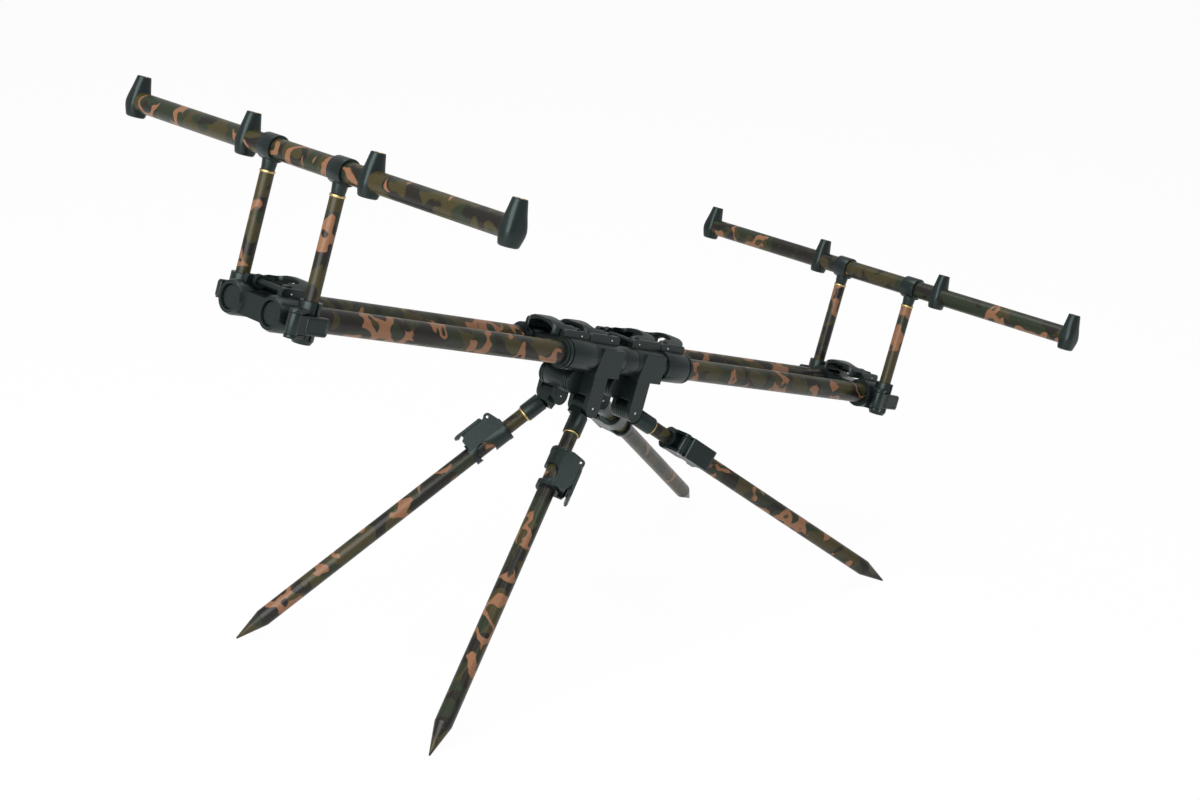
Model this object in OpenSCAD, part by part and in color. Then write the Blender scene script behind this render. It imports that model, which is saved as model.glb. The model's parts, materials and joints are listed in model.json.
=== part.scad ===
// Rod pod: a collapsed twin-tube stand on four splayed legs, with a goal post
// at each end. The front end is -X and stands high; left is -Y.

/* [Stance] */
// Slope of the twin tubes with the front end up, in degrees
body_pitch = 15.3; // [5:0.1:22]
// Lean of the front legs from plumb, seen from the side, in degrees
front_lean = 50.5; // [44:0.1:56]
// Outward splay of each leg below its hinge, in degrees
leg_splay = 18.3; // [12:0.1:20]
// Length of a leg from its hinge pin to the ground
leg_len = 415; // [395:1:480]

/* [Twin tubes] */
// Outside diameter of a main tube
tube_d = 23.5; // [22.5:0.1:24.5]
// Wall of the main tubes and the core tubes
tube_wall = 1.5; // [1:0.1:2]
// Distance between the two tube axes
tube_pitch = 60.6; // [58:0.2:64]
// Radial gap of a tube or block that slides on another tube
slide_gap = 0.3; // [0.2:0.05:0.4]
// Length of a core tube
core_len = 840; // [760:10:860]
// Distance along the tubes from the hub centre to an upright
upright_x = 445.5; // [442:0.5:480]

/* [Hub] */
// Width of the collar between the leg bosses
collar_w = 20; // [16:0.5:24]
// Length of a leg boss along the tubes
boss_len = 46; // [44:0.5:50]
// Length of a tube clamp along the tubes
clamp_len = 42; // [40:0.5:46]
// Wall of a clamp ring around a main tube
ring_wall = 4.75; // [4:0.05:5.5]
// Wall of a boss ring around a core tube
boss_wall = 5; // [4.5:0.1:5.5]
// Gap between neighbouring hub blocks
hub_gap = 0.5; // [0.3:0.1:1]
// Depth of the web between the two rings, above the tube axes
web_top = 10; // [8:0.5:11]
// Depth of the web between the two rings, below the tube axes
web_low = 12; // [10:0.5:13]
// How far a main tube stands in from the inner face of its clamp
tube_seat = 8; // [4:0.5:12]

/* [Loop levers] */
// Height of a lever pin above the tube axes
pin_z = 19; // [18.5:0.1:20.5]
// Diameter of a lever pin
pin_d = 3; // [2.5:0.1:5]
// Distance of a lever pin from the inner face of its block
pin_in = 11.3; // [10.5:0.1:12.5]
// Radius of a lever hub
hub_r = 6.5; // [5.5:0.1:7]
// Width of a lever across the tubes
lever_w = 45; // [42:0.5:46]
// Reach of a loop handle from its pin
loop_reach = 34; // [28:0.5:34]
// Height of the crown of the handle above the pin
loop_rise = 11.5; // [10:0.1:12]
// Rise of the handle from its sides to its crown
loop_sag = 7.5; // [6:0.1:9]
// Thickness of the arched handle
loop_t = 4.5; // [3.5:0.1:5]
// Width of the finger gap under the handle
finger_w = 34; // [28:0.5:36]
// Radius of the lever hub between its two cams
hub_mid_r = 3.2; // [3:0.1:5.5]
// Length of the arched band at the end of the handle
loop_band = 15; // [12:0.5:20]
// Thickness of a side wall that carries a lever pin
ear_t = 5.8; // [5:0.1:6.5]
// Running gap round a pin
run_gap = 0.06; // [0.03:0.01:0.1]
// Side gap of a lever between its side walls
side_gap = 0.5; // [0.3:0.1:0.8]

/* [End brackets] */
// Distance from an upright to the inner face of its bracket
bracket_in = 17.5; // [16:0.5:20]
// Distance from an upright to the outer face of its bracket
bracket_out = 25.5; // [24:0.5:28]
// Distance from an upright out to the bracket lever pin
bracket_pin = 4.5; // [3:0.5:6]
// Length of an end cap in the outer end of a bracket
cap_len = 13; // [10:0.5:15]
// How far an end cap sits below the rim of its ring
cap_inset = 2; // [1:0.1:3]
// Wall of an upright socket
socket_wall = 3.4; // [3:0.1:4]
// Height of the socket rim above the tube axes
socket_top = 19.5; // [12:0.5:20]
// Depth of the socket floor below the tube axes
socket_floor = 15; // [13:0.5:16]

/* [Upright levers] */
// Distance along the tubes from an upright to its lever pivot
side_off = 25; // [22:0.5:26]
// Distance from the socket wall out to the lever pivot
side_out = 2.9; // [2.5:0.1:3.5]
// Height of an upright lever
side_h = 19; // [16:0.5:19.5]
// Reach of an upright lever from its pivot
side_reach = 36; // [32:0.5:40]
// Thickness of a lug that carries an upright lever
side_lug_t = 3; // [2.5:0.1:3.5]

/* [Goal posts] */
// Distance between the two uprights
upright_pitch = 102.6; // [101:0.2:110]
// Outside diameter of an upright
upright_d = 13.5; // [12.5:0.1:14]
// Wall of an upright
upright_wall = 1.5; // [1:0.1:2]
// Height of the buzz bar above the tube axes
bar_z = 137; // [110:0.5:160]
// Outside diameter of the buzz bar
bar_d = 20; // [18.5:0.1:20.5]
// Wall of the buzz bar
bar_wall = 1.5; // [1:0.1:2]
// Distance between neighbouring rod rests
rod_pitch = 180; // [160:1:200]
// Wall of a T-collar around the bar
tee_wall = 2.6; // [2.3:0.1:4]
// Length of a T-collar along the bar
tee_len = 18; // [17.5:0.5:24]
// Depth of a T-collar below the bar axis
tee_drop = 21; // [19:0.5:24]
// Depth of a T-collar's spigot in its upright
spigot_len = 12; // [8:0.5:16]
// Radius of a rod rest at its flat top
rest_top_r = 6.7; // [6.4:0.1:7.5]
// Radius of a rod rest at its foot
rest_foot_r = 7.5; // [7:0.1:8.5]
// Height of a rod rest above the bar axis
rest_up = 25; // [25:0.5:30]
// Depth of a rod rest below the bar axis
rest_down = 15.5; // [15:0.5:18]
// Wall of a rod rest beside the bar
rest_wall = 3; // [2.8:0.1:4]
// Length of a rod rest along the bar
rest_len = 13.5; // [13.5:0.5:15.5]
// Tapping radius of the threaded hole in a rod rest
thread_r = 4.15; // [3.9:0.05:4.3]
// Depth of the threaded hole
thread_len = 14.5; // [12:0.5:14.5]

/* [Legs] */
// Distance of a leg hinge pin below the tube axes
leg_drop = 53; // [51:0.5:58]
// Distance of a leg hinge from the mid plane
leg_y = 24; // [23:0.5:26]
// Diameter of a leg hinge pin
leg_pin_d = 3.4; // [3:0.1:6]
// Radius of a hinge eye and of the lugs beside it
eye_r = 10; // [9:0.1:10.5]
// Width of a hinge eye
eye_w = 16; // [14:0.5:17]
// Thickness of a hinge lug
leg_lug_t = 5.5; // [5:0.1:6]
// Outside diameter of a lower leg tube
leg_d = 18; // [17:0.1:19]
// Wall of the leg tubes
leg_wall = 1; // [0.8:0.1:1.2]
// Station of the foot of the ferrule, measured down the leg
ferrule_end = 36.5; // [34:0.5:40]
// Station of the top of the leg lock, measured down the leg
lock_top = 61; // [58:0.5:66]
// Length of a leg lock collar
lock_len = 47; // [46:0.5:50]
// Wall of a leg lock collar
lock_wall = 3.2; // [2.6:0.1:3.4]
// Distance of the flip lever's pin from the leg axis
flip_pin_y = 21; // [20:0.1:22]
// Distance of the flip lever's pin below the top of the lock
flip_pin_drop = 9.2; // [8:0.1:10]
// Length of the flip lever below its pin
flip_len = 41; // [38:0.5:44]
// Length of the spike cone
spike_len = 33; // [28:0.5:40]
// Radius of the spike tip
spike_tip_r = 1; // [0.5:0.1:1.5]

/* [Barrels] */
// Radius of a cross barrel under a leg boss
barrel_r = 13; // [11:0.1:13]
// Length of a cross barrel
barrel_len = 43; // [38:0.5:44]
// Distance that a barrel sits forward of its boss
barrel_set = 18; // [17:0.5:20]
// Depth of a barrel axis below the tube axes
barrel_drop = 30; // [29:0.5:31]

/* [Hidden] */
$fn = 48;

// Ends and sides: front is -1 along X, left is -1 along Y
front = -1;
rear = 1;
left = -1;
right = 1;
sides = [left, right];
black = [0.16, 0.17, 0.18];
camo = [0.33, 0.29, 0.2];
steel = [0.75, 0.75, 0.76];
brass = [0.72, 0.6, 0.35];
over = 1;

// Tubes
tube_y = tube_pitch / 2;
tube_r = tube_d / 2;
core_d = tube_d - 2 * tube_wall - 2 * slide_gap;
core_r = core_d / 2;
ring_r = tube_r + ring_wall;
boss_r = core_r + boss_wall;

// Stations along the tubes, measured outward from the hub centre
boss_in = collar_w / 2 + hub_gap;
boss_mid = boss_in + boss_len / 2;
clamp_in = boss_in + boss_len + hub_gap;
clamp_out = clamp_in + clamp_len;
boss_pin_x = boss_in + pin_in;
clamp_pin_x = clamp_in + pin_in;
bracket_pin_x = upright_x + bracket_pin;
// The bracket reaches past the core tubes, with room for the end caps
core_room = 1;
bracket_face = max(upright_x + bracket_out, core_len / 2 + core_room + cap_len + cap_inset);
bracket_back = upright_x - bracket_in;
cap_in = bracket_face - cap_inset - cap_len;

// Clamp rings end in a groove, a lip and a narrower mouth
groove_len = 2;
groove_deep = 1.5;
lip_len = 3;
lip_deep = 0.3;
mouth_len = 3;
mouth_deep = 2;
nose_len = groove_len + lip_len + mouth_len;
rim_len = 4;
rim_deep = 1.5;

// Loop levers and the side walls that carry them
ear_y = lever_w / 2 + side_gap + ear_t / 2;
ear_out = ear_y + ear_t / 2;
ear_up = 4.8;
ear_in = pin_in;
ear_short = 1;
ear_over = 4;
boss_ear = boss_len - pin_in - ear_short;
clamp_ear = clamp_len - nose_len - pin_in + ear_over;
bracket_ear = 18;
ear_round = 4;
arch_r = (pow(lever_w / 2, 2) + pow(loop_sag, 2)) / (2 * loop_sag);
crown_x = 22;
crown_r = 40;
arm_low = 3.5;
loop_round = 8;
loop_hole_round = 6;
loop_hole_w = finger_w - 2.4;
pocket_gap = 0.6;

// Uprights and their side levers
upright_y = upright_pitch / 2;
upright_r = upright_d / 2;
socket_bore_r = upright_r + slide_gap;
socket_r = socket_bore_r + socket_wall;
socket_low = 4;
bridge_w = 18;
slit_w = 2;
pivot_y = upright_y + socket_r + side_out;
cam_r = 6;
side_hub_gap = 0.4;
side_in = 1.7;
side_thick = 5;
side_inset = 1;

// Goal post
bar_r = bar_d / 2;
rest_ys = [for (i = [-1.5, -0.5, 0.5, 1.5]) i * rod_pitch];
rest_end_y = 1.5 * rod_pitch;
bar_end_y = rest_end_y + 2;
tee_r = bar_r + tee_wall;
tee_step = 0.4;
tee_flare = 1.8;
spigot_gap = 0.05;
insert_r = thread_r + 1.2;
dome_out = 8.5;
dome_r = 57;
chamfer = 1.2;
// Outline of a rod rest: shares of its depth or height, with the share of
// the swell round the bar that is left there
rest_r = bar_r + rest_wall;
rest_edge = 0.6;
foot_shape = [[0.71, 0.19], [0.45, 0.63], [0.23, 0.93]];
head_shape = [[0, 1], [0.14, 0.94], [0.28, 0.73], [0.44, 0.43], [0.6, 0.24], [0.8, 0.1]];
rest_outline = concat(
    [[0, -rest_down], [rest_foot_r - rest_edge, -rest_down], [rest_foot_r, rest_edge - rest_down]],
    [for (p = foot_shape) [rest_foot_r + p[1] * (rest_r - rest_foot_r), -p[0] * rest_down]],
    [for (p = head_shape) [rest_top_r + p[1] * (rest_r - rest_top_r), p[0] * rest_up]],
    [[rest_top_r, rest_up - rest_edge], [rest_top_r - rest_edge, rest_up], [0, rest_up]]
);

// Legs
leg_x = boss_mid;
leg_r = leg_d / 2;
upper_d = leg_d - 2 * leg_wall - 2 * slide_gap;
upper_r = upper_d / 2;
lug_gap = 0.3;
lug_in = leg_y - eye_w / 2 - lug_gap - leg_lug_t;
lug_out = leg_y + eye_w / 2 + lug_gap + leg_lug_t;
lug_room = 2.5;
neck_w = 15;
neck_len = 15;
ferrule_top = 15;
ferrule_wall = 1.9;
ferrule_r = upper_r + ferrule_wall;
tube_in_ferrule = 20;
rib_count = 4;
rib_deep = 0.7;
spike_top = leg_len - spike_tip_r - spike_len;
plug_len = 10;
upper_room = 26;
upper_end = spike_top - plug_len - upper_room;
lock_r = leg_r + lock_wall;
lock_seat = 11;
lock_lip = 0.5;
lock_lip_len = 4;
window_r = 10.2;
window_set = 6.5;
window_drop = 31;
// Ears of the lock, the nose between them and the lever on their pin
flip_ear_out = 11.7;
flip_ear_in = 8.5;
flip_ear_r = 4.5;
flip_ear_y = flip_pin_y + 1;
flip_ear_end = lock_len - 2;
flip_half = flip_ear_in - 0.4;
flip_cam_r = 4.2;
flip_cover = flip_ear_y + 0.3 - flip_pin_y;
flip_face = 4.6;
flip_cover_top = 6.8;
flip_bevel = 1.2;
flip_slope = 1.5;
flip_tip = 3;
flip_tip_in = 1;
flip_hook = 1.5;
flip_hook_low = 3.5;
flip_hook_top = 7;
flip_lap = 0.5;
nose_from = 15.5;
nose_to = 41;
nose_y = 17.5;
// The front leg locks are turned on their tubes, the rear ones face outward
front_left_turn = 37;
front_right_turn = 46;
rear_turn = 0;

// Cheeks of the leg bosses
cheek_y = tube_y + boss_r + 0.5;
cheek_low = 17.5;
cheek_top = 12;
cheek_fore = 20;
cheek_aft = 17;
cheek_slant = 6;
cradle_half = 11;
cradle_y = 20;
cradle_low = 24;
barrel_ring = 1;
barrel_grooves = [2.5, 6];
groove_cut = 1.2;

// Stance: the hub height comes from the front legs, the rear lean follows
front_hip = (leg_len - spike_tip_r) * cos(front_lean) * cos(leg_splay) + spike_tip_r;
hip_fall = 2 * leg_x * sin(body_pitch);
rear_lean = acos((front_hip - hip_fall - spike_tip_r) / ((leg_len - spike_tip_r) * cos(leg_splay)));
hub_z = front_hip - leg_x * sin(body_pitch) + leg_drop * cos(body_pitch);
front_reach = bracket_face * cos(body_pitch) + (ring_r - rim_deep) * sin(body_pitch);
rear_reach = upright_x * cos(body_pitch) + bar_z * sin(body_pitch) + max(tee_r, rest_r);
shift_x = (front_reach - rear_reach) / 2;
function lean(end) = end == front ? front_lean - body_pitch : rear_lean + body_pitch;

// Places the sloping body on its legs
module in_body() {
    translate([shift_x, 0, hub_z])
        rotate([0, body_pitch, 0])
            children();
}

// Turns a piece drawn for the rear end to the front end
module at_end(end) {
    in_body()
        rotate([0, 0, end == front ? 180 : 0])
            children();
}

// Extrudes an outline drawn across the tubes along them
module along_x(len) {
    rotate([90, 0, 90])
        linear_extrude(len)
            children();
}

// Extrudes a side outline across the tubes, centred
module across_y(len) {
    rotate([90, 0, 0])
        linear_extrude(len, center = true)
            children();
}

// Round bar along the tubes
module rod_x(r, len) {
    rotate([0, 90, 0])
        cylinder(r = r, h = len);
}

// Round bar across the tubes, centred
module rod_y(r, len) {
    rotate([90, 0, 0])
        cylinder(r = r, h = len, center = true);
}

// Rectangle with rounded corners
module round_rect(x0, x1, w, r) {
    translate([x0, -w / 2 + r])
        square([x1 - x0, w - 2 * r]);
    translate([x0 + r, -w / 2])
        square([x1 - x0 - 2 * r, w]);
    for (x = [x0 + r, x1 - r], y = [-w / 2 + r, w / 2 - r])
        translate([x, y])
            circle(r);
}

// Two rings joined by a web
module twin_section(r) {
    for (side = sides)
        translate([side * tube_y, 0])
            circle(r);
    translate([-tube_y, -web_low])
        square([2 * tube_y, web_low + web_top]);
}

// Bores for both tubes from one station to another
module twin_bores(r, from, to) {
    for (side = sides)
        translate([from, side * tube_y, 0])
            rod_x(r, to - from);
}

// Side walls beside a lever, drawn about the lever pin
module ears(x0, x1) {
    for (side = sides)
        translate([0, side * ear_y, 0])
            across_y(ear_t)
                difference() {
                    union() {
                        translate([x0, -pin_z])
                            square([x1 - x0, pin_z + ear_up - ear_round]);
                        translate([x0 + ear_round, 0])
                            square([x1 - x0 - 2 * ear_round, ear_up]);
                        for (x = [x0 + ear_round, x1 - ear_round])
                            translate([x, ear_up - ear_round])
                                circle(ear_round);
                    }
                    circle(d = pin_d);
                }
}

// Room for a lever hub and its pin, drawn about the lever pin
module lever_room() {
    rod_y(hub_r + pocket_gap, lever_w + 2 * side_gap);
    rod_y(pin_d / 2, 2 * ear_out + 2 * over);
}

// Loop handle: two side arms joined at their ends by a band that is arched
// across the tubes, with a finger gap below it
module loop_handle() {
    difference() {
        intersection() {
            across_y(lever_w)
                intersection() {
                    translate([crown_x, loop_rise - crown_r])
                        circle(crown_r);
                    translate([0, -arm_low])
                        square([loop_reach, arm_low + loop_rise]);
                }
            along_x(loop_reach)
                translate([0, loop_rise - arch_r])
                    difference() {
                        circle(arch_r);
                        intersection() {
                            circle(arch_r - loop_t);
                            square([finger_w, 2 * arch_r], center = true);
                        }
                    }
            translate([0, 0, -arm_low])
                linear_extrude(arm_low + loop_rise)
                    round_rect(-loop_round, loop_reach, lever_w, loop_round);
        }
        translate([0, 0, -arm_low - over])
            linear_extrude(arm_low + loop_rise + 2 * over)
                round_rect(-2 * loop_hole_round, loop_reach - loop_band, loop_hole_w, loop_hole_round);
    }
}

// Cam lever that points outward: two cams on a slim hub under a loop handle
module loop_lever() {
    difference() {
        union() {
            for (side = sides)
                translate([0, side * (lever_w + finger_w) / 4, 0])
                    rod_y(hub_r, (lever_w - finger_w) / 2);
            rod_y(hub_mid_r, lever_w);
            loop_handle();
        }
        rod_y(pin_d / 2 + run_gap, lever_w + 2 * over);
    }
}

// Core tubes that the end sections and the bosses slide on
module core_tubes() {
    color(steel)
        in_body()
            for (side = sides)
                translate([-core_len / 2, side * tube_y, 0])
                    difference() {
                        rod_x(core_r, core_len);
                        translate([-over, 0, 0])
                            rod_x(core_r - tube_wall, core_len + 2 * over);
                    }
}

// Collar that ties the two core tubes together at the middle
module core_collar() {
    color(black)
        in_body()
            difference() {
                translate([-collar_w / 2, 0, 0])
                    along_x(collar_w)
                        twin_section(boss_r);
                twin_bores(core_r, -collar_w / 2 - over, collar_w / 2 + over);
            }
}

// Leg boss: rings on the core tubes, walls for its lever, flat outer cheeks,
// a cradle for the cross barrel and forked lugs for two legs
module leg_boss(end) {
    mid = end * boss_mid;
    barrel_x = mid - barrel_set;
    color(black)
        in_body()
            difference() {
                union() {
                    translate([mid - boss_len / 2, 0, 0])
                        along_x(boss_len)
                            twin_section(boss_r);
                    rotate([0, 0, end == front ? 180 : 0])
                        translate([boss_pin_x, 0, pin_z])
                            ears(-ear_in, boss_ear);
                    for (side = sides)
                        translate([mid, side * (tube_y + cheek_y) / 2, 0])
                            across_y(cheek_y - tube_y)
                                polygon([
                                    [-cheek_fore, -cheek_low],
                                    [cheek_aft, -cheek_low],
                                    [cheek_aft, cheek_top],
                                    [cheek_slant - cheek_fore, cheek_top]
                                ]);
                    translate([mid - boss_len / 2, -cradle_y, -cradle_low])
                        cube([boss_len / 2 - barrel_set + cradle_half, 2 * cradle_y, cradle_low]);
                    for (side = sides)
                        translate([mid, side * (lug_in + lug_out) / 2, -leg_drop]) {
                            rod_y(eye_r, lug_out - lug_in);
                            translate([-eye_r, -(lug_out - lug_in) / 2, 0])
                                cube([2 * eye_r, lug_out - lug_in, leg_drop - web_low + over]);
                        }
                }
                twin_bores(core_r + slide_gap, mid - boss_len / 2 - over, mid + boss_len / 2 + over);
                translate([end * boss_pin_x, 0, pin_z])
                    lever_room();
                translate([barrel_x, 0, -barrel_drop])
                    rod_y(barrel_r, barrel_len);
                for (side = sides)
                    translate([mid, side * leg_y, -leg_drop]) {
                        rod_y(leg_pin_d / 2, lug_out);
                        translate([-2 * eye_r, -eye_w / 2 - lug_gap, -2 * eye_r])
                            cube([4 * eye_r, eye_w + 2 * lug_gap, 3 * eye_r + lug_room]);
                    }
            }
}

// Cross barrel with ringed ends, held in the cradle of its boss
module barrel(end) {
    color(black)
        in_body()
            translate([end * boss_mid - barrel_set, 0, -barrel_drop])
                rotate([90, 0, 0])
                    difference() {
                        cylinder(r = barrel_r, h = barrel_len, center = true);
                        for (side = sides, from = barrel_grooves)
                            translate([0, 0, side * (barrel_len / 2 - from)])
                                difference() {
                                    cylinder(r = barrel_r + over, h = barrel_ring, center = true);
                                    cylinder(r = barrel_r - groove_cut, h = 2 * barrel_ring, center = true);
                                }
                    }
}

// Steel pins of one boss: the lever pin and two leg hinge pins
module boss_pins(end) {
    color(steel)
        in_body() {
            translate([end * boss_pin_x, 0, pin_z])
                rod_y(pin_d / 2, 2 * ear_out);
            for (side = sides)
                translate([end * leg_x, side * (lug_in + lug_out) / 2, -leg_drop])
                    rod_y(leg_pin_d / 2, lug_out - lug_in);
        }
}

module boss_lever(end) {
    color(black)
        at_end(end)
            translate([boss_pin_x, 0, pin_z])
                loop_lever();
}

// Main tubes of one end section
module main_tubes(end) {
    color(camo)
        at_end(end)
            for (side = sides)
                translate([clamp_in + tube_seat, side * tube_y, 0])
                    difference() {
                        rod_x(tube_r, cap_in - clamp_in - tube_seat);
                        translate([-over, 0, 0])
                            rod_x(tube_r - tube_wall, cap_in - clamp_in - tube_seat + 2 * over);
                    }
}

// Clamp on the inner ends of the main tubes
module tube_clamp(end) {
    body_out = clamp_out - nose_len;
    color(black)
        at_end(end)
            difference() {
                union() {
                    translate([clamp_in, 0, 0])
                        along_x(body_out - clamp_in)
                            twin_section(ring_r);
                    for (side = sides)
                        translate([body_out, side * tube_y, 0]) {
                            rod_x(ring_r - groove_deep, groove_len);
                            translate([groove_len, 0, 0])
                                rod_x(ring_r - lip_deep, lip_len);
                            translate([groove_len + lip_len, 0, 0])
                                rod_x(ring_r - mouth_deep, mouth_len);
                        }
                    translate([clamp_pin_x, 0, pin_z])
                        ears(-ear_in, clamp_ear);
                }
                twin_bores(core_r + slide_gap, clamp_in - over, clamp_in + tube_seat + over);
                twin_bores(tube_r, clamp_in + tube_seat, clamp_out + over);
                translate([clamp_pin_x, 0, pin_z])
                    lever_room();
            }
}

// Bar that joins an upright socket to the pivot of its lever
module side_lug() {
    rotate(atan2(pivot_y - upright_y, side_off))
        translate([0, -cam_r])
            square([norm([pivot_y - upright_y, side_off]), 2 * cam_r]);
    translate([side_off, pivot_y - upright_y])
        circle(cam_r);
}

// End bracket: rings for the tube ends, walls for its lever and two split
// sockets for the uprights, each with lugs for a side lever
module bracket(end) {
    lug_z = side_h / 2 + side_hub_gap;
    color(black)
        at_end(end)
            difference() {
                union() {
                    translate([bracket_back, 0, 0])
                        along_x(bracket_face - rim_len - bracket_back)
                            twin_section(ring_r);
                    for (side = sides)
                        translate([bracket_face - rim_len, side * tube_y, 0])
                            rotate([0, 90, 0])
                                cylinder(r1 = ring_r, r2 = ring_r - rim_deep, h = rim_len);
                    translate([bracket_pin_x, 0, pin_z])
                        ears(-bracket_ear, ear_in);
                    for (side = sides) {
                        translate([upright_x - bridge_w / 2, side < 0 ? -upright_y : tube_y, -socket_floor])
                            cube([bridge_w, upright_y - tube_y, socket_floor + web_low]);
                        translate([upright_x, side * upright_y, -socket_floor - socket_low])
                            cylinder(r1 = socket_r - socket_low / 2, r2 = socket_r, h = socket_low);
                        translate([upright_x, side * upright_y, -socket_floor])
                            cylinder(r = socket_r, h = socket_floor + socket_top);
                        for (z = [-lug_z - side_lug_t, lug_z])
                            translate([upright_x, side * upright_y, z])
                                linear_extrude(side_lug_t)
                                    rotate(side < 0 ? 180 : 0)
                                        side_lug();
                    }
                }
                twin_bores(tube_r, bracket_back - over, bracket_face + over);
                translate([bracket_pin_x, 0, pin_z])
                    lever_room();
                for (side = sides) {
                    translate([upright_x, side * upright_y, -socket_floor])
                        cylinder(r = socket_bore_r, h = socket_floor + socket_top + over);
                    translate([
                        upright_x - slit_w / 2,
                        side < 0 ? -upright_y - 2 * socket_r : upright_y,
                        -socket_floor
                    ])
                        cube([slit_w, 2 * socket_r, socket_floor + socket_top + over]);
                    translate([upright_x + side * side_off, side * pivot_y, 0])
                        cylinder(d = pin_d, h = 2 * (lug_z + side_lug_t + over), center = true);
                }
            }
}

// Round caps that close the outer ends of the main tubes
module end_caps(end) {
    color(black)
        at_end(end)
            for (side = sides)
                translate([cap_in, side * tube_y, 0])
                    rotate([0, 90, 0]) {
                        cylinder(r = tube_r, h = cap_len - chamfer);
                        translate([0, 0, cap_len - chamfer])
                            cylinder(r1 = tube_r, r2 = tube_r - chamfer, h = chamfer);
                    }
}

// Steel pins of one end section: two loop lever pins, two side lever pins
module lever_pins(end) {
    pin_h = side_h + 2 * side_hub_gap + 2 * side_lug_t;
    color(steel)
        at_end(end) {
            for (x = [clamp_pin_x, bracket_pin_x])
                translate([x, 0, pin_z])
                    rod_y(pin_d / 2, 2 * ear_out);
            for (side = sides)
                translate([upright_x + side * side_off, side * pivot_y, 0])
                    cylinder(d = pin_d, h = pin_h, center = true);
        }
}

module clamp_lever(end) {
    color(black)
        at_end(end)
            translate([clamp_pin_x, 0, pin_z])
                loop_lever();
}

// The bracket lever's handle points in towards the hub
module bracket_lever(end) {
    color(black)
        at_end(end)
            translate([bracket_pin_x, 0, pin_z])
                rotate([0, 0, 180])
                    loop_lever();
}

// Side lever that closes one upright socket, its handle lying past the socket
module upright_lever(end, side) {
    turned = side * end;
    color(black)
        at_end(end)
            translate([upright_x + turned * side_off, turned * pivot_y, 0])
                rotate([0, 0, turned < 0 ? 180 : 0])
                    mirror([1, 0, 0])
                        difference() {
                            union() {
                                cylinder(r = cam_r, h = side_h, center = true);
                                linear_extrude(side_h - 2 * side_inset, center = true)
                                    polygon([
                                        [0, -side_in],
                                        [0.75 * side_reach, -side_in],
                                        [side_reach, side_in / 2],
                                        [side_reach, side_thick - side_in],
                                        [0.6 * side_reach, side_thick - side_in],
                                        [0, cam_r - side_inset]
                                    ]);
                            }
                            cylinder(r = pin_d / 2 + run_gap, h = side_h + 2 * over, center = true);
                        }
}

// Uprights of one goal post, standing on the socket floors
module uprights(end) {
    top = bar_z - tee_drop;
    color(camo)
        at_end(end)
            for (side = sides)
                translate([upright_x, side * upright_y, -socket_floor])
                    difference() {
                        cylinder(r = upright_r, h = top + socket_floor);
                        translate([0, 0, -over])
                            cylinder(r = upright_r - upright_wall, h = top + socket_floor + 2 * over);
                    }
}

// T-collars that hang the buzz bar on the uprights
module tee_collars(end) {
    color(black)
        at_end(end)
            for (side = sides)
                translate([upright_x, side * upright_y, bar_z])
                    difference() {
                        union() {
                            rod_y(tee_r, tee_len);
                            translate([0, 0, -tee_drop])
                                cylinder(r1 = upright_r - tee_step, r2 = upright_r + tee_flare,
                                    h = tee_drop);
                            translate([0, 0, -tee_drop - spigot_len])
                                cylinder(r = upright_r - upright_wall - spigot_gap,
                                    h = spigot_len + tee_step);
                        }
                        rod_y(bar_r, tee_len + 2 * over);
                    }
}

// Buzz bar across the goal post
module buzz_bar(end) {
    color(camo)
        at_end(end)
            translate([upright_x, 0, bar_z])
                difference() {
                    rod_y(bar_r, 2 * bar_end_y);
                    rod_y(bar_r - bar_wall, 2 * bar_end_y + 2 * over);
                }
}

// Slice that gives a rod rest its flat sides; an outer one has a domed face
module rest_slice(y) {
    out = sign(y);
    end_one = abs(y) == rest_end_y;
    y_in = -out * rest_len / 2;
    y_out = out * (end_one ? dome_out : rest_len / 2);
    intersection() {
        translate([-2 * rest_r, min(y_in, y_out), -2 * rest_up])
            cube([4 * rest_r, abs(y_out - y_in), 4 * rest_up]);
        if (end_one)
            translate([-2 * rest_r, out * (dome_out - dome_r), (rest_up - rest_down) / 2])
                rod_x(dome_r, 4 * rest_r);
    }
}

// Rod rests: posts that swell round the bar; the outer two close its ends
module rod_rests(end) {
    color(black)
        at_end(end)
            for (y = rest_ys)
                translate([upright_x, y, bar_z])
                    difference() {
                        intersection() {
                            rotate_extrude()
                                polygon(rest_outline);
                            rest_slice(y);
                        }
                        translate([0, -y, 0])
                            rod_y(bar_r, 2 * bar_end_y);
                        translate([0, 0, rest_up - thread_len])
                            cylinder(r = insert_r, h = thread_len + over);
                    }
}

// Threaded inserts in the tops of the rod rests
module thread_inserts(end) {
    color(brass)
        at_end(end)
            for (y = rest_ys)
                translate([upright_x, y, bar_z + rest_up - thread_len])
                    difference() {
                        cylinder(r = insert_r, h = thread_len);
                        translate([0, 0, -over])
                            cylinder(r = thread_r, h = thread_len + 2 * over);
                    }
}

// Places a hinge eye, with the leg's lean but not its splay
module at_hinge(end, side) {
    in_body()
        translate([end * leg_x, side * leg_y, -leg_drop])
            rotate([0, -end * lean(end), 0])
                children();
}

// Places a piece on a leg: the hinge is at the origin, the leg runs down -Z
module on_leg(end, side) {
    at_hinge(end, side)
        rotate([side * leg_splay, 0, 0])
            children();
}

// Places a piece of a leg lock, whose lever faces +Y
module on_lock(end, side, turn) {
    on_leg(end, side)
        rotate([0, 0, turn + (side == left ? 180 : 0)])
            translate([0, 0, -lock_top])
                children();
}

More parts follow.
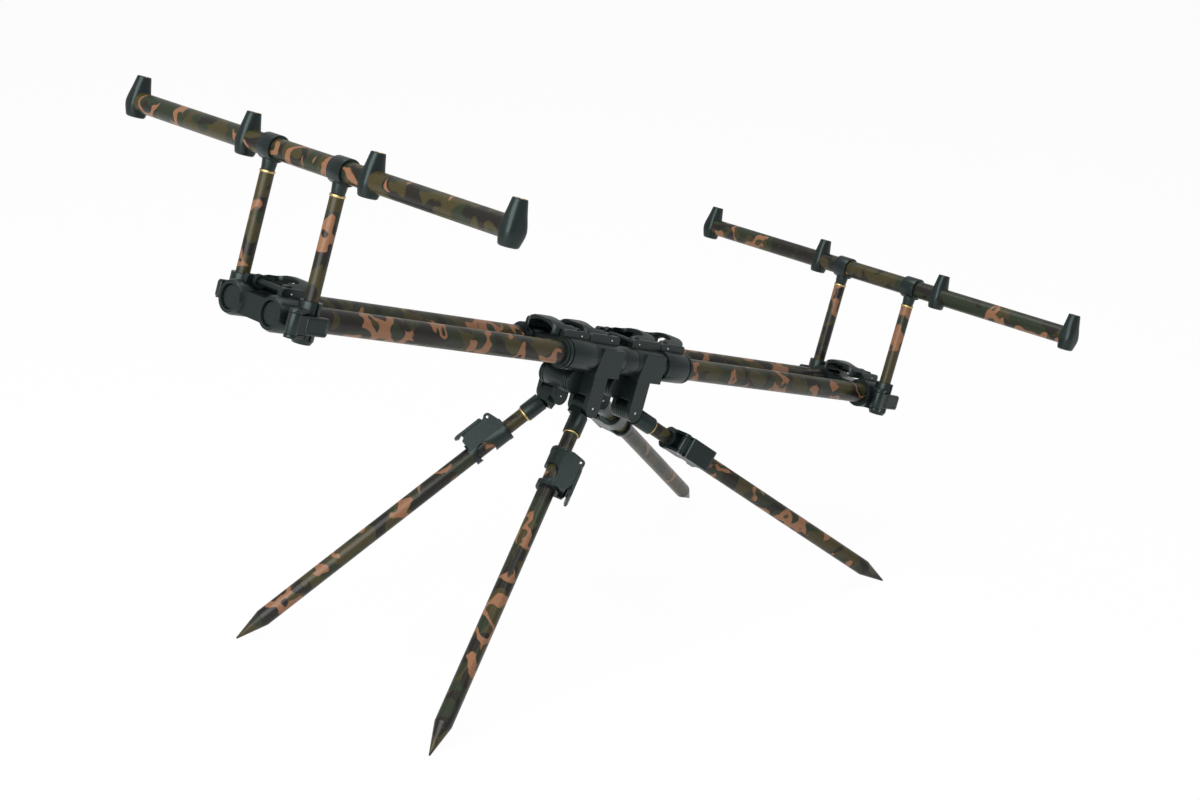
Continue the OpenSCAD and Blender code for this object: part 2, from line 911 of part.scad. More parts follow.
// Hinge eye with a ribbed drum and the ferrule that takes the upper tube
module knuckle(end, side) {
    color(black)
        difference() {
            union() {
                at_hinge(end, side) {
                    difference() {
                        rod_y(eye_r, eye_w);
                        for (i = [1 : rib_count])
                            translate([0, (i / (rib_count + 1) - 0.5) * eye_w, 0])
                                difference() {
                                    rod_y(eye_r + over, rib_deep);
                                    rod_y(eye_r - rib_deep, 2 * rib_deep);
                                }
                    }
                    translate([-neck_w / 2, -neck_w / 2, -neck_len])
                        cube([neck_w, neck_w, neck_len]);
                }
                on_leg(end, side)
                    translate([0, 0, -ferrule_end])
                        cylinder(r = ferrule_r, h = ferrule_end - ferrule_top);
            }
            at_hinge(end, side)
                rod_y(leg_pin_d / 2 + run_gap, eye_w + 2 * over);
            on_leg(end, side)
                translate([0, 0, -ferrule_end - over])
                    cylinder(r = upper_r, h = ferrule_end - tube_in_ferrule + over);
        }
}

module upper_tube(end, side) {
    color(camo)
        on_leg(end, side)
            translate([0, 0, -upper_end])
                difference() {
                    cylinder(r = upper_r, h = upper_end - tube_in_ferrule);
                    translate([0, 0, -over])
                        cylinder(r = upper_r - leg_wall, h = upper_end + over);
                }
}

// Lower tube that slides on the upper one, closed by its spike
module lower_tube(end, side) {
    tube_top = lock_top + lock_seat;
    color(camo)
        on_leg(end, side) {
            translate([0, 0, -spike_top])
                difference() {
                    cylinder(r = leg_r, h = spike_top - tube_top);
                    translate([0, 0, plug_len])
                        cylinder(r = leg_r - leg_wall, h = spike_top);
                }
            translate([0, 0, -spike_top - spike_len])
                cylinder(r1 = spike_tip_r, r2 = leg_r, h = spike_len);
            translate([0, 0, -spike_top - spike_len])
                sphere(r = spike_tip_r);
        }
}

// Leg lock collar with a window at the back, two ears that carry the lever
// pin and a nose between them
module leg_lock(end, side, turn) {
    color(black)
        on_lock(end, side, turn)
            difference() {
                union() {
                    translate([0, 0, -lock_len])
                        cylinder(r = lock_r, h = lock_len);
                    translate([0, 0, -lock_lip_len])
                        cylinder(r = lock_r + lock_lip, h = lock_lip_len);
                    for (x = [-flip_ear_out, flip_ear_in])
                        translate([x, 0, 0])
                            along_x(flip_ear_out - flip_ear_in)
                                lock_ear();
                    translate([-flip_ear_in - over, 0, -nose_to])
                        cube([2 * (flip_ear_in + over), nose_y, nose_to - nose_from]);
                }
                translate([0, 0, -lock_seat])
                    cylinder(r = upper_r + slide_gap, h = lock_seat + over);
                translate([0, 0, -lock_len - over])
                    cylinder(r = leg_r, h = lock_len - lock_seat + over);
                translate([-2 * lock_r, -window_set, -window_drop])
                    rod_x(window_r, 4 * lock_r);
                translate([-flip_ear_out - over, flip_pin_y, -flip_pin_drop])
                    rod_x(pin_d / 2 + run_gap, 2 * (flip_ear_out + over));
            }
}

// Side outline of a lock ear: it slopes from the collar to the round end that
// carries the pin, and its outer edge lies under the lever
module lock_ear() {
    polygon([
        [0, -over],
        [lock_r - over, -over],
        [flip_pin_y + over, flip_ear_r - flip_pin_drop],
        [flip_ear_y, -flip_pin_drop],
        [flip_ear_y, -0.8 * flip_ear_end],
        [0.8 * flip_ear_y, -flip_ear_end],
        [0, -flip_ear_end]
    ]);
    translate([flip_pin_y, -flip_pin_drop])
        circle(flip_ear_r);
}

// Flip lever of a leg lock: a cam and web between the ears, a cover plate as
// wide as the collar that ends in a finger tip, and its pin
module lock_lever(end, side, turn) {
    color(black)
        on_lock(end, side, turn)
            translate([0, flip_pin_y, -flip_pin_drop]) {
                translate([-flip_ear_out, 0, 0])
                    rod_x(pin_d / 2, 2 * flip_ear_out);
                translate([-flip_half, 0, 0])
                    along_x(2 * flip_half) {
                        circle(flip_cam_r);
                        translate([-pin_d / 2, -0.8 * flip_len])
                            square([pin_d / 2 + flip_cover + flip_lap, 0.8 * flip_len]);
                    }
                translate([-flip_ear_out, 0, 0])
                    along_x(2 * flip_ear_out)
                        polygon([
                            [flip_cover, -flip_cover_top],
                            [flip_face - flip_bevel, -flip_cover_top],
                            [flip_face, -flip_cover_top - flip_slope],
                            [flip_face, flip_tip - flip_len],
                            [flip_face - flip_tip_in, -flip_len],
                            [flip_cover, -flip_len],
                            [flip_cover - flip_hook, flip_hook_low - flip_len],
                            [flip_cover, flip_hook_top - flip_len]
                        ]);
            }
}

core_tubes();
core_collar();
leg_boss(front);  // front_leg_boss
barrel(front);  // front_barrel
boss_pins(front);  // front_boss_pins
boss_lever(front);  // front_boss_lever
leg_boss(rear);  // rear_leg_boss
barrel(rear);  // rear_barrel
boss_pins(rear);  // rear_boss_pins
boss_lever(rear);  // rear_boss_lever
main_tubes(front);  // front_main_tubes
tube_clamp(front);  // front_tube_clamp
bracket(front);  // front_bracket
end_caps(front);  // front_end_caps
lever_pins(front);  // front_lever_pins
clamp_lever(front);  // front_clamp_lever
bracket_lever(front);  // front_bracket_lever
upright_lever(front, left);  // front_left_upright_lever
upright_lever(front, right);  // front_right_upright_lever
main_tubes(rear);  // rear_main_tubes
tube_clamp(rear);  // rear_tube_clamp
bracket(rear);  // rear_bracket
end_caps(rear);  // rear_end_caps
lever_pins(rear);  // rear_lever_pins
clamp_lever(rear);  // rear_clamp_lever
bracket_lever(rear);  // rear_bracket_lever
upright_lever(rear, left);  // rear_left_upright_lever
upright_lever(rear, right);  // rear_right_upright_lever
uprights(front);  // front_uprights
tee_collars(front);  // front_tee_collars
buzz_bar(front);  // front_buzz_bar
rod_rests(front);  // front_rod_rests
thread_inserts(front);  // front_thread_inserts
uprights(rear);  // rear_uprights
tee_collars(rear);  // rear_tee_collars
buzz_bar(rear);  // rear_buzz_bar
rod_rests(rear);  // rear_rod_rests
thread_inserts(rear);  // rear_thread_inserts
knuckle(front, left);  // front_left_knuckle
upper_tube(front, left);  // front_left_upper_tube
lower_tube(front, left);  // front_left_lower_tube
leg_lock(front, left, front_left_turn);  // front_left_lock
lock_lever(front, left, front_left_turn);  // front_left_lock_lever
knuckle(front, right);  // front_right_knuckle
upper_tube(front, right);  // front_right_upper_tube
lower_tube(front, right);  // front_right_lower_tube
leg_lock(front, right, front_right_turn);  // front_right_lock
lock_lever(front, right, front_right_turn);  // front_right_lock_lever
knuckle(rear, left);  // rear_left_knuckle
upper_tube(rear, left);  // rear_left_upper_tube
lower_tube(rear, left);  // rear_left_lower_tube
leg_lock(rear, left, rear_turn);  // rear_left_lock
lock_lever(rear, left, rear_turn);  // rear_left_lock_lever
knuckle(rear, right);  // rear_right_knuckle
upper_tube(rear, right);  // rear_right_upper_tube
lower_tube(rear, right);  // rear_right_lower_tube
leg_lock(rear, right, rear_turn);  // rear_right_lock
lock_lever(rear, right, rear_turn);  // rear_right_lock_lever
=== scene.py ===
# A carp rod pod: a sloping twin-tube body on four splayed legs, with a goal
# post and a buzz bar at each end. Camouflage tubes, black moulded fittings.
import json
import math

import bmesh
import bpy
from mathutils import Matrix, Vector


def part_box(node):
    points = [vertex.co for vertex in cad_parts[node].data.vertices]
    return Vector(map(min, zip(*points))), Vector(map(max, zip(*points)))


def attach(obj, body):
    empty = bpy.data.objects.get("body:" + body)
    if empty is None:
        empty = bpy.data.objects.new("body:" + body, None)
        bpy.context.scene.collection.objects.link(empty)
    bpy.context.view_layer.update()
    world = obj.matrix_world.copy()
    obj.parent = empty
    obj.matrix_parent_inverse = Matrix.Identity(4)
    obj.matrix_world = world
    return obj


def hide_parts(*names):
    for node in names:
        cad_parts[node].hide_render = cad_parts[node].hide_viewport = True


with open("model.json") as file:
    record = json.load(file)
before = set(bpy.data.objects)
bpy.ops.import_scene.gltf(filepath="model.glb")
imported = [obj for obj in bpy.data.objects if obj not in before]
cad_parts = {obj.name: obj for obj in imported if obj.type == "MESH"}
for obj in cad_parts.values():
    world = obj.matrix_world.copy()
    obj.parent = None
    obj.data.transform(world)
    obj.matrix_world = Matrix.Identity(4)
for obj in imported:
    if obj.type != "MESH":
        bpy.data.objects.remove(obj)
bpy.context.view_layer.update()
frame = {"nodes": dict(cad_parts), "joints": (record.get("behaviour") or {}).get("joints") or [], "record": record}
nodes = frame["nodes"]
scene = bpy.context.scene


# Studio: a white floor that keeps a soft shadow, a white surround and three
# soft lamps, seen by a camera at the photograph's viewing angle.
class Socket:
    """A socket of a node tree, so that shader maths reads as Python."""

    def __init__(self, tree, socket=None):
        self.tree = tree
        self.socket = socket

    def add(self, kind, settings=None, sockets=None, out=0):
        """Adds a node, sets it up, feeds its sockets and gives one output back."""
        node = self.tree.nodes.new(kind)
        for name, value in (settings or {}).items():
            setattr(node, name, value)
        for name, value in (sockets or {}).items():
            if isinstance(value, Socket):
                self.tree.links.new(value.socket, node.inputs[name])
            else:
                node.inputs[name].default_value = value
        return Socket(self.tree, node.outputs[out] if node.outputs else None)

    def maths(self, operation, a, b=0.0, clamp=False):
        """One Math node on two values."""
        return self.add("ShaderNodeMath", {"operation": operation, "use_clamp": clamp}, {0: a, 1: b})

    def __add__(self, other):
        return self.maths("ADD", self, other)

    __radd__ = __add__

    def __sub__(self, other):
        return self.maths("SUBTRACT", self, other)

    def __rsub__(self, other):
        return self.maths("SUBTRACT", other, self)

    def __mul__(self, other):
        return self.maths("MULTIPLY", self, other)

    __rmul__ = __mul__

    def over(self, edge, width):
        """1 above an edge and 0 below it, over a narrow step."""
        return self.maths("MULTIPLY", self - (edge - width / 2), 1 / width, clamp=True)

    def mixed(self, low, high):
        """A blend of two colours by this value, through a Mix node's colour sockets."""
        colour_a, colour_b, colour_out = 6, 7, 2
        sockets = {"Factor": self, colour_a: low, colour_b: high}
        return self.add("ShaderNodeMix", {"data_type": "RGBA"}, sockets, out=colour_out)

    def surface(self, **sockets):
        """Ends a material with one principled shader."""
        named = {name.replace("_", " "): value for name, value in sockets.items()}
        shader = self.add("ShaderNodeBsdfPrincipled", sockets=named)
        self.add("ShaderNodeOutputMaterial", sockets={"Surface": shader})


def new_tree(name):
    """A new material and the empty node tree that it is drawn with."""
    material = bpy.data.materials.new(name)
    material.use_nodes = True
    material.node_tree.nodes.clear()
    return material, Socket(material.node_tree)


mirror_share = 0.42


def white_share(tree):
    """How much of the plain white a ray sees: all for the camera, less in a reflection."""
    camera_ray = tree.add("ShaderNodeLightPath", out="Is Camera Ray")
    glossy_ray = tree.add("ShaderNodeLightPath", out="Is Glossy Ray")
    return tree.maths("MAXIMUM", camera_ray, glossy_ray * mirror_share)


floor_half = 14
floor_corners = [(-floor_half, -floor_half, 0), (floor_half, -floor_half, 0),
                 (floor_half, floor_half, 0), (-floor_half, floor_half, 0)]
floor_mesh = bpy.data.meshes.new("studio_floor")
floor_mesh.from_pydata(floor_corners, [], [(0, 1, 2, 3)])
floor = bpy.data.objects.new("studio_floor", floor_mesh)
scene.collection.objects.link(floor)

white = (1, 1, 1, 1)
floor_glow = 0.96
floor_white, tree = new_tree("studio_white")
lit_floor = tree.add("ShaderNodeBsdfDiffuse", sockets={"Color": (0.9, 0.9, 0.9, 1)})
glow = tree.add("ShaderNodeEmission", sockets={"Color": white, "Strength": 1})
glow_share = white_share(tree) * floor_glow
floor_look = tree.add("ShaderNodeMixShader", sockets={0: glow_share, 1: lit_floor, 2: glow})
tree.add("ShaderNodeOutputMaterial", sockets={"Surface": floor_look})
floor_mesh.materials.append(floor_white)

surround_light = 0.22
world = bpy.data.worlds.new("studio_surround")
scene.world = world
world.use_nodes = True
world.node_tree.nodes.clear()
tree = Socket(world.node_tree)
surround = tree.add("ShaderNodeBackground", sockets={"Color": white, "Strength": surround_light})
backdrop = tree.add("ShaderNodeBackground", sockets={"Color": white, "Strength": 1})
world_look = tree.add("ShaderNodeMixShader", sockets={0: white_share(tree), 1: surround, 2: backdrop})
tree.add("ShaderNodeOutputWorld", sockets={"Surface": world_look})

# Each lamp has its place and its width in metres, and its power in watts.
lamps = {
    "key_lamp": ((-2.5, -0.7, 1.6), 2.6, 95),
    "fill_lamp": ((0.5, -1.5, 2.6), 0.8, 10),
    "top_lamp": ((0.3, 0.4, 2.8), 1.8, 36),
}
lamp_aim = Vector((0, 0, 0.3))
for name, (lamp_place, width, watts) in lamps.items():
    lamp = bpy.data.lights.new(name, "AREA")
    lamp.size = width
    lamp.energy = watts
    lamp_object = bpy.data.objects.new(name, lamp)
    lamp_object.location = lamp_place
    lamp_object.rotation_euler = (lamp_aim - Vector(lamp_place)).to_track_quat("-Z", "Y").to_euler()
    scene.collection.objects.link(lamp_object)

camera_place = (-1.5197, -1.4593, 0.9665)
camera_heading = math.radians(46.005)
camera_dip = math.radians(19.064)
camera_roll = math.radians(4.436)
camera = bpy.data.cameras.new("camera")
camera.sensor_width = 36
camera.lens = 62.777
camera_object = bpy.data.objects.new("camera", camera)
camera_object.matrix_world = (
    Matrix.Translation(camera_place)
    @ Matrix.Rotation(-camera_heading, 4, "Z")
    @ Matrix.Rotation(math.pi / 2 - camera_dip, 4, "X")
    @ Matrix.Rotation(camera_roll, 4, "Z")
)
scene.collection.objects.link(camera_object)
scene.camera = camera_object
scene.view_settings.view_transform = "Standard"


# Core: two drawn aluminium tubes tied by a moulded collar. Everything else
# slides on them, and little of them shows until a slide is drawn out.
def dress(node, material):
    """Gives a CAD node its finish."""
    nodes[node].data.materials.clear()
    nodes[node].data.materials.append(material)


def soften(node, width):
    """Rounds the hard edges of a CAD node, by a width in metres."""
    weld = nodes[node].modifiers.new("weld", "WELD")
    weld.merge_threshold = 1e-5
    flat = nodes[node].modifiers.new("flat", "DECIMATE")
    flat.decimate_type = "DISSOLVE"
    flat.angle_limit = math.radians(1)
    edge = nodes[node].modifiers.new("edge", "BEVEL")
    edge.width = width
    edge.segments = 3
    edge.limit_method = "ANGLE"
    edge.angle_limit = math.radians(28)
    edge.harden_normals = True


def paint(red, green, blue):
    """A colour as a screen shows it, from 0 to 255, made linear."""
    shares = [level / 255 for level in (red, green, blue)]
    return (*(s / 12.92 if s <= 0.04045 else ((s + 0.055) / 1.055) ** 2.4 for s in shares), 1)


drawn_aluminium, tree = new_tree("drawn_aluminium")
place = tree.add("ShaderNodeTexCoord", out="Object")
along = tree.add("ShaderNodeMapping", sockets={"Vector": place, "Scale": (4, 300, 300)})
streak = tree.add("ShaderNodeTexNoise", sockets={"Vector": along, "Scale": 3, "Detail": 4})
tree.surface(
    Base_Color=streak.mixed((0.55, 0.55, 0.56, 1), (0.72, 0.72, 0.73, 1)),
    Metallic=1.0,
    Roughness=streak * 0.15 + 0.25,
)
dress("core_tubes", drawn_aluminium)

moulded_black, tree = new_tree("moulded_black")
place = tree.add("ShaderNodeTexCoord", out="Object")
grain = tree.add("ShaderNodeTexNoise", sockets={"Vector": place, "Scale": 1800, "Detail": 2})
cloud = tree.add("ShaderNodeTexNoise", sockets={"Vector": place, "Scale": 60, "Detail": 3})
tree.surface(
    Base_Color=cloud.mixed(paint(11, 17, 16), paint(22, 31, 31)),
    Roughness=cloud * 0.14 + 0.25,
    Specular_IOR_Level=0.4,
    Specular_Tint=(0.8, 1, 0.96, 1),
    Normal=tree.add("ShaderNodeBump", sockets={"Height": grain, "Strength": 0.06, "Distance": 0.0004}),
)
collar_edge = 0.0007
dress("core_collar", moulded_black)
soften("core_collar", collar_edge)


# Leg bosses: glass-filled mouldings that slide on the core tubes. Each has a
# ringed cross barrel under it and steel pins for its lever and two legs.
drawn_steel, tree = new_tree("drawn_steel")
place = tree.add("ShaderNodeTexCoord", out="Object")
turned = tree.add("ShaderNodeTexNoise", sockets={"Vector": place, "Scale": 700, "Detail": 3})
tree.surface(
    Base_Color=turned.mixed((0.6, 0.6, 0.61, 1), (0.8, 0.8, 0.8, 1)),
    Metallic=1.0,
    Roughness=turned * 0.2 + 0.25,
)
ends = ("front", "rear")
boss_edge = 0.0012
for end in ends:
    for part in ("leg_boss", "barrel"):
        dress(f"{end}_{part}", moulded_black)
        soften(f"{end}_{part}", boss_edge)
    dress(f"{end}_boss_pins", drawn_steel)
    soften(f"{end}_boss_pins", boss_edge)


# Loop levers: moulded cams with an arched handle, one on each boss, clamp and
# bracket. They lie shut and flip up about their pins.
loop_edge = 0.0011
for end in ends:
    for part in ("boss", "clamp", "bracket"):
        dress(f"{end}_{part}_lever", moulded_black)
        soften(f"{end}_{part}_lever", loop_edge)


# Main tubes: alloy tube in a printed film of olive, dark green, tan and
# near-black patches under a semi-gloss lacquer.
camo_film, tree = new_tree("camo_film")
place = tree.add("ShaderNodeTexCoord", out="Object")
sway = tree.add("ShaderNodeTexNoise", sockets={"Vector": place, "Scale": 45, "Detail": 1}, out="Color")
sway_reach = (0.018, 0.018, 0.018)
swayed = tree.add("ShaderNodeVectorMath", {"operation": "MULTIPLY_ADD"}, {0: sway, 1: sway_reach, 2: place})

# Each colour and each gap has a noise of its own, with a scale and a shift.
patch_noises = {"green": (34, 0.0), "dark": (27, 3.7), "dark_gap": (25, 5.3),
                "tan": (41, 9.3), "tan_gap": (27, 12.4)}
patch = {}
for name, (scale, shift) in patch_noises.items():
    moved = tree.add("ShaderNodeVectorMath", {"operation": "ADD"}, {0: swayed, 1: (shift, shift, shift)})
    patch[name] = tree.add("ShaderNodeTexNoise", sockets={"Vector": moved, "Scale": scale, "Detail": 0.6})
noise_middle = 0.5
band_edge = 0.012
patch_edge = 0.02


def winding(name, half_width, gap_share):
    """A mask of winding bands, broken into short lengths."""
    band = 1 - tree.maths("ABSOLUTE", patch[name] - noise_middle).over(half_width, band_edge)
    return band * patch[f"{name}_gap"].over(gap_share, patch_edge)


olive = paint(57, 51, 25)
dark_green = paint(34, 41, 25)
near_black = paint(25, 22, 16)
tan = paint(130, 91, 64)
green_from = 0.51
film = patch["green"].over(green_from, patch_edge).mixed(olive, dark_green)
film = winding("dark", half_width=0.075, gap_share=0.46).mixed(film, near_black)
film = winding("tan", half_width=0.058, gap_share=0.535).mixed(film, tan)
grain = tree.add("ShaderNodeTexNoise", sockets={"Vector": place, "Scale": 900, "Detail": 2})
tree.surface(
    Base_Color=film,
    Roughness=grain * 0.1 + 0.28,
    Specular_IOR_Level=0.33,
    Normal=tree.add("ShaderNodeBump", sockets={"Height": grain, "Strength": 0.03, "Distance": 0.0003}),
)
for end in ends:
    dress(f"{end}_main_tubes", camo_film)


# Tube clamps, end brackets and end caps: mouldings on the ends of the main
# tubes, with steel pins for their levers.
clamp_edge = 0.0011
pin_edge = 0.001
for end in ends:
    for part in ("tube_clamp", "bracket", "end_caps"):
        dress(f"{end}_{part}", moulded_black)
        soften(f"{end}_{part}", clamp_edge)
    dress(f"{end}_lever_pins", drawn_steel)
    soften(f"{end}_lever_pins", pin_edge)


# Goal posts: camouflage uprights and a buzz bar, joined by moulded T-collars
# with a thin gold anodised ring under each. New pieces are drawn in
# millimetres from here on.
mm = 0.001


def new_piece(name, shape, place, material, body):
    """Turns a shape drawn in millimetres into a piece that rides on a body."""
    mesh = bpy.data.meshes.new(name)
    bmesh.ops.recalc_face_normals(shape, faces=shape.faces)
    shape.to_mesh(mesh)
    shape.free()
    mesh.transform(place @ Matrix.Scale(mm, 4))
    for face in mesh.polygons:
        face.use_smooth = True
    mesh.materials.append(material)
    piece = bpy.data.objects.new(name, mesh)
    scene.collection.objects.link(piece)
    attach(piece, body)
    return piece


def turn_about_z(outline, count=40):
    """A closed ring swept from an outline of (radius, height) points."""
    shape = bmesh.new()
    loops = []
    for step in range(count):
        angle = 2 * math.pi * step / count
        loops.append([shape.verts.new((r * math.cos(angle), r * math.sin(angle), z)) for r, z in outline])
    for here, there in zip(loops, loops[1:] + loops[:1]):
        for i in range(len(outline)):
            j = (i + 1) % len(outline)
            shape.faces.new((here[i], there[i], there[j], here[j]))
    return shape


def stand(place, up, across):
    """A frame at a place, with Z along up and Y as near across as it can be."""
    up = Vector(up).normalized()
    ahead = Vector(across).cross(up).normalized()
    turn = Matrix((ahead, up.cross(ahead), up)).transposed()
    return Matrix.Translation(place) @ turn.to_4x4()


gold_anodised, tree = new_tree("gold_anodised")
place = tree.add("ShaderNodeTexCoord", out="Object")
turned = tree.add("ShaderNodeTexNoise", sockets={"Vector": place, "Scale": 500, "Detail": 3})
tree.surface(
    Base_Color=turned.mixed(paint(176, 150, 96), paint(214, 192, 138)),
    Metallic=1.0,
    Roughness=turned * 0.15 + 0.3,
)
ring_band = 2.4
ring_proud = 0.55
ring_sunk = 0.2
ring_edge = 0.25


def trim_ring(name, place, tube_radius, body):
    """A thin gold band with rounded edges, tight round a tube."""
    inner = tube_radius - ring_sunk
    outer = tube_radius + ring_proud
    outline = [(inner, 0), (outer - ring_edge, 0), (outer, ring_edge),
               (outer, ring_band - ring_edge), (outer - ring_edge, ring_band), (inner, ring_band)]
    return new_piece(name, turn_about_z(outline), place, gold_anodised, body)


# Each side has its sign along Y, which runs across the pod.
sides = {"left": -1, "right": 1}
across_pod = (0, 1, 0)
mounts = {mount["name"]: mount for mount in frame["record"]["mounts"]}
thread_above_bar = 17.75
tee_drop = 21
tee_edge = 0.0009
upright_radius = 6.75
for end in ends:
    for part in ("uprights", "buzz_bar"):
        dress(f"{end}_{part}", camo_film)
    dress(f"{end}_tee_collars", moulded_black)
    soften(f"{end}_tee_collars", tee_edge)
    up = Vector(mounts[f"{end}_rest_thread_1"]["axis"])
    first_thread = Vector(mounts[f"{end}_rest_thread_1"]["pos_m"])
    last_thread = Vector(mounts[f"{end}_rest_thread_4"]["pos_m"])
    bar_middle = (first_thread + last_thread) / 2 - up * thread_above_bar * mm
    upright_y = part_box(f"{end}_uprights")[1].y - upright_radius * mm
    for side, way in sides.items():
        tee = bar_middle + Vector((0, way * upright_y, 0))
        under_tee = stand(tee - up * (tee_drop + ring_band) * mm, up, across_pod)
        trim_ring(f"{end}_{side}_post_ring", under_tee, upright_radius, f"{end}_post")


# Side levers: moulded cams that close the split sockets round the uprights.
# Past its cam each has a thick grip with a shallow panel for the thumb.
joints = {joint["name"]: joint for joint in frame["joints"]}
side_lever_edge = 0.0012
grip_middle = 23.8
grip_half_length = 12.8
grip_half_height = 8.6
grip_corner = 3.2
grip_least_corner = 0.6
grip_crease = math.radians(40)

# The grip's levels are distances out from the lever's pin, each with its inset.
grip_levels = [(-1, 0.8), (-0.2, 0), (3.4, 0), (4.7, 0.5), (5.3, 1.5), (5.3, 2.7), (4.7, 3)]


def rounded_loop(half_length, half_height, corner, steps=8):
    """Points round a rectangle with rounded corners."""
    loop = []
    for quarter, (right, top) in enumerate(((1, 1), (-1, 1), (-1, -1), (1, -1))):
        for step in range(steps + 1):
            angle = math.pi / 2 * (quarter + step / steps)
            loop.append((right * (half_length - corner) + corner * math.cos(angle),
                         top * (half_height - corner) + corner * math.sin(angle)))
    return loop


def loft(shape, rings):
    """Joins rings of points into one skin that is closed at both ends."""
    loops = [[shape.verts.new(point) for point in ring] for ring in rings]
    count = len(loops[0])
    for low, high in zip(loops, loops[1:]):
        for i in range(count):
            j = (i + 1) % count
            shape.faces.new((low[i], low[j], high[j], high[i]))
    shape.faces.new(loops[0])
    shape.faces.new(loops[-1])


def grip_shape():
    """A grip with rounded edges and a sunk panel, beside the lever's pin."""
    rings = []
    for height, inset in grip_levels:
        corner = max(grip_corner - inset, grip_least_corner)
        loop = rounded_loop(grip_half_length - inset, grip_half_height - inset, corner)
        rings.append([(grip_middle + x, y, height) for x, y in loop])
    shape = bmesh.new()
    loft(shape, rings)
    return shape


for end in ends:
    for side, way in sides.items():
        lever = f"{end}_{side}_upright_lever"
        dress(lever, moulded_black)
        soften(lever, side_lever_edge)
        flip = joints[f"{end}_{side}_upright_flip"]
        pin_frame = stand(flip["pos_m"], (0, way, 0), -Vector(flip["axis"]))
        grip = new_piece(f"{lever}_grip", grip_shape(), pin_frame, moulded_black, lever)
        grip.modifiers.new("rim", "EDGE_SPLIT").split_angle = grip_crease


# Rod rests: moulded posts that swell round the bar, with a brass bush in the
# top that is threaded for an alarm. The two outer ones close the bar's ends.
# Heights are from the bar's axis.
rest_up = 25
rest_down = 15.5
rest_widest = -2
rest_depth = 6.7
rest_swell = 11.6
rest_top_length = 6.2
rest_inner_length = 7.9
rest_outer_length = 9.4
rest_foot_in = 1.6
rest_foot_slimming = 0.55
rest_taper = 1.4
rest_foot_taper = 1.8
rest_roundness = 2.2
rest_bar_squareness = 1.3
rest_bar_height = 9
rest_crease = math.radians(50)
bush_radius = 5.35
bush_floor = 10.6

# The rounding of the foot and of the rim: heights, each with its inset.
foot_round = [(0, 1.7), (0.25, 0.9), (0.9, 0.25)]
foot_rise = 1.6
rim_round = [(-0.3, 0.15), (0, 0.6)]
rim_drop = 0.8


def oval(angle, along, across, power):
    """Reach of an oval from its middle, from a half length and a half width."""
    lengthways = abs(math.cos(angle)) / along
    sideways = abs(math.sin(angle)) / across
    return (lengthways ** power + sideways ** power) ** (-1 / power)


def rest_reach(height, angle, outward):
    """Reach of a rest from its own axis, at an angle from the bar."""
    to_top = (max(height - rest_widest, 0) / (rest_up - rest_widest)) ** rest_taper
    to_foot = (max(rest_widest - height, 0) / (rest_down + rest_widest)) ** rest_foot_taper
    across = rest_depth + (rest_swell - rest_depth) * (1 - to_top - rest_foot_slimming * to_foot)
    if outward * math.cos(angle) > 0:
        along = rest_outer_length - (rest_outer_length - rest_top_length) * to_top - rest_foot_in * to_foot
    else:
        along = rest_inner_length - (rest_inner_length - rest_top_length) * to_top
    power = rest_roundness + rest_bar_squareness * math.exp(-(height / rest_bar_height) ** 2)
    return oval(angle, along, across, power)


def rest_post(shape, place, outward, count=72, steps=44):
    """Adds one post to a shape, lofted from its foot to the rim of its bush."""
    levels = [(height - rest_down, inset) for height, inset in foot_round]
    span = rest_up + rest_down - foot_rise - rim_drop
    levels += [(foot_rise - rest_down + span * step / steps, 0) for step in range(steps + 1)]
    levels += [(height + rest_up, inset) for height, inset in rim_round]
    angles = [2 * math.pi * step / count for step in range(count)]
    rings = []
    for height, inset in levels:
        reach = [rest_reach(height, angle, outward) - inset for angle in angles]
        rings.append([(r * math.sin(a), r * math.cos(a), height) for r, a in zip(reach, angles)])
    for height in (rest_up, bush_floor):
        rings.append([(bush_radius * math.sin(a), bush_radius * math.cos(a), height) for a in angles])
    loft(shape, [[place @ Vector(point) for point in ring] for ring in rings])


turned_brass, tree = new_tree("turned_brass")
place = tree.add("ShaderNodeTexCoord", out="Object")
tarnish = tree.add("ShaderNodeTexNoise", sockets={"Vector": place, "Scale": 260, "Detail": 3})
tree.surface(
    Base_Color=tarnish.mixed((0.5, 0.36, 0.15, 1), (0.75, 0.58, 0.28, 1)),
    Metallic=1.0,
    Roughness=tarnish * 0.2 + 0.25,
)

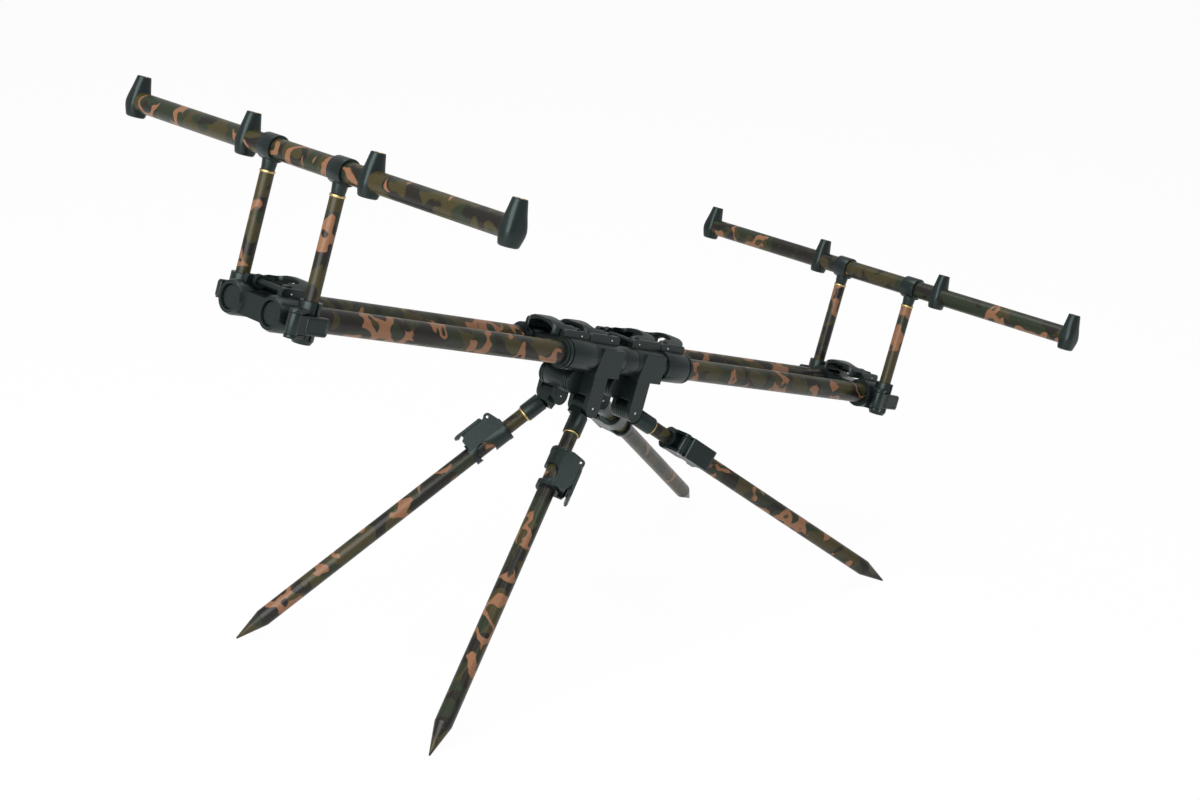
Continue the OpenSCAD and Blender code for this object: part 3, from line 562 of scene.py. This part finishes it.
# Each rest has a thread number and the way its closed end faces along Y.
rest_ways = {1: -1, 2: 0, 3: 0, 4: 1}
for end in ends:
    feet = {}
    for number in rest_ways:
        mount = mounts[f"{end}_rest_thread_{number}"]
        up = Vector(mount["axis"])
        feet[number] = stand(Vector(mount["pos_m"]) - up * thread_above_bar * mm, up, across_pod)
    origin = feet[1]
    posts = bmesh.new()
    for number, outward in rest_ways.items():
        shift = (origin.inverted() @ feet[number]).translation / mm
        rest_post(posts, Matrix.Translation(shift), outward)
    rests = new_piece(f"{end}_rest_posts", posts, origin, moulded_black, f"{end}_post")
    rests.modifiers.new("rim", "EDGE_SPLIT").split_angle = rest_crease
    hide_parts(f"{end}_rod_rests")
    dress(f"{end}_thread_inserts", turned_brass)


# Legs: a ribbed hinge knuckle, a slim upper tube and a wider lower tube with
# a point, held by a moulded lock with a flip lever.
ferrule_end = 36.5
upper_radius = 7.7
leg_edge = 0.0007
for end in ends:
    for side in sides:
        leg = f"{end}_{side}"
        for part in ("upper_tube", "lower_tube"):
            dress(f"{leg}_{part}", camo_film)
        for part in ("knuckle", "lock", "lock_lever"):
            dress(f"{leg}_{part}", moulded_black)
            soften(f"{leg}_{part}", leg_edge)
        hinge = Vector(joints[f"{leg}_leg_swing"]["pos_m"])
        down = Vector(joints[f"{leg}_leg_slide"]["axis"])
        under_ferrule = stand(hinge + down * ferrule_end * mm, down, across_pod)
        trim_ring(f"{leg}_leg_ring", under_ferrule, upper_radius, f"{leg}_leg")


# Lock pins: the flip lever's steel pin shows as a bright domed head on the
# outer face of each ear of the lock.
lock_ear_face = 11.7
head_radius = 1.5
head_shoulder = 0.25
head_dome_radius = 0.7 * head_radius
head_dome = 0.55
head_rise = 0.65
head_eye = 0.01
head_sides = 24
head_outline = [(head_eye, 0), (head_radius, 0), (head_radius, head_shoulder),
                (head_dome_radius, head_dome), (head_eye, head_rise)]
for end in ends:
    for side in sides:
        leg = f"{end}_{side}"
        flip = joints[f"{leg}_lock_flip"]
        down = Vector(joints[f"{leg}_leg_slide"]["axis"])
        for number, way in enumerate((1, -1), 1):
            out = Vector(flip["axis"]) * way
            ear_face = stand(Vector(flip["pos_m"]) + out * lock_ear_face * mm, out, down)
            new_piece(f"{leg}_lock_pin_head_{number}", turn_about_z(head_outline, head_sides), ear_face,
                      drawn_steel, f"{leg}_lock_lever")
